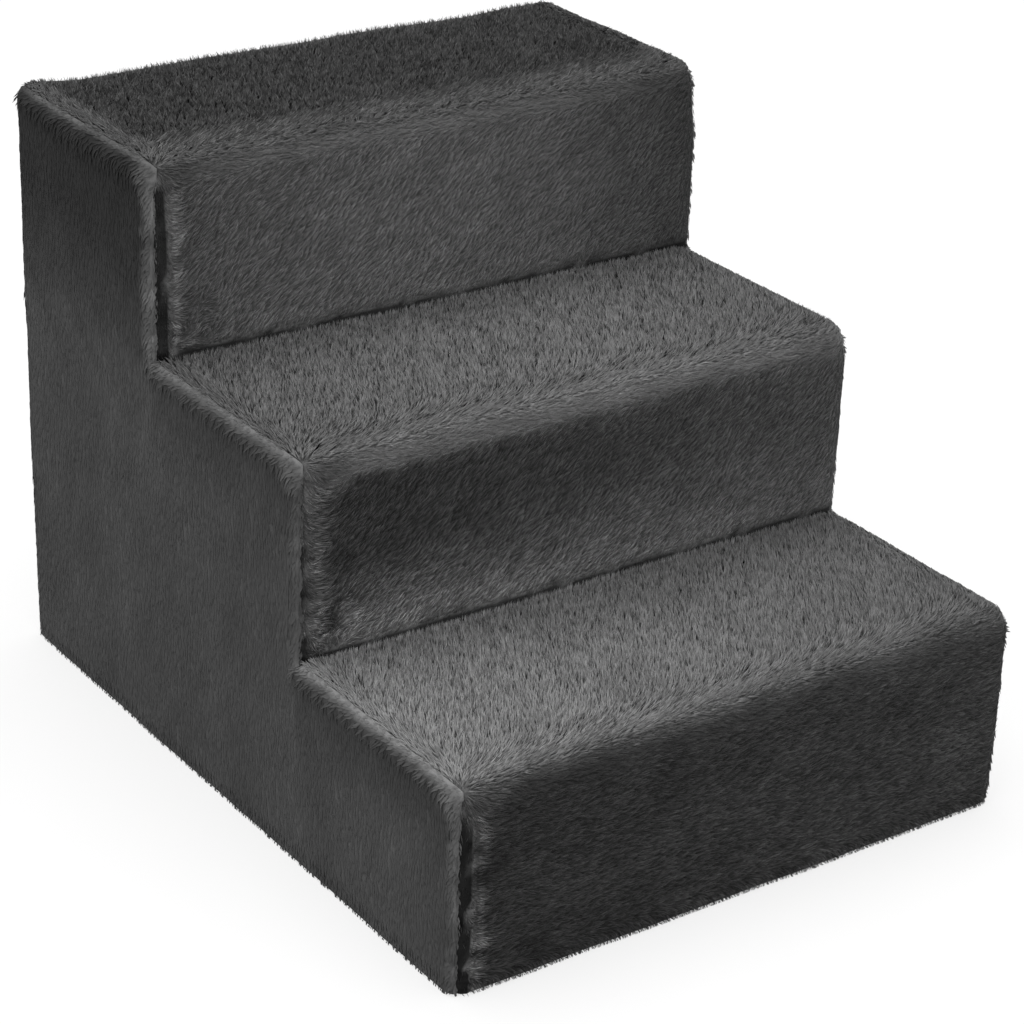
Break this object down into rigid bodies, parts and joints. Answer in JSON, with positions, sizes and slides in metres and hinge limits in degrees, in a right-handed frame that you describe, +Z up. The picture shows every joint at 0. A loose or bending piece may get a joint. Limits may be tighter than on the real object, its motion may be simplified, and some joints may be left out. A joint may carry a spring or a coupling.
{
  "type": "pet stairs",
  "caption": "Soft pet stairs: foam slabs in a dark grey long-pile plush cover, with rounded noses, a zip across the low back and a dotted non-slip base cloth.",
  "frame": {"origin": "on the floor, under the middle of the stairs' overall box", "axes": "+X across the stairs, to the right of someone who climbs them; +Y towards the back, the way the stairs climb; +Z up"},
  "size_m": [0.4, 0.5, 0.378],
  "materials": {
    "foam": "matte",
    "side_plush": "matte",
    "step_plush": "matte",
    "back_plush": "matte",
    "base_cloth": "matte",
    "zip_tape": "matte",
    "zip_teeth": "satin",
    "zip_metal": "satin"
  },
  "bodies": {
    "stairs": {"foam_base_slab": "foam", "foam_middle_slab": "foam", "foam_top_slab": "foam", "cover_left_side": "side_plush", "cover_right_side": "side_plush", "cover_step_1": "step_plush", "cover_step_2": "step_plush", "cover_step_3": "step_plush", "cover_back_panel": "back_plush", "cover_back_hem": "back_plush", "cover_base": "base_cloth", "zip_tape_upper": "zip_tape", "zip_tape_lower": "zip_tape", "zip_teeth_upper": "zip_teeth", "zip_teeth_lower": "zip_teeth", "zip_top_stops": "zip_metal", "zip_bottom_stop": "zip_metal"},
    "slider": {"zip_slider": "zip_metal"},
    "pull": {"zip_pull": "zip_metal"}
  },
  "joints": [
    {"name": "zip_slide", "type": "slide", "parent": "stairs", "child": "slider", "axis": [1, 0, 0], "range_m": [-0.3216, 0]},
    {"name": "pull_turn", "type": "hinge", "parent": "slider", "child": "pull", "pos_m": [0.1608, 0.2465, 0.044], "axis": [0, 0, -1], "range_deg": [0, 175]}
  ]
}
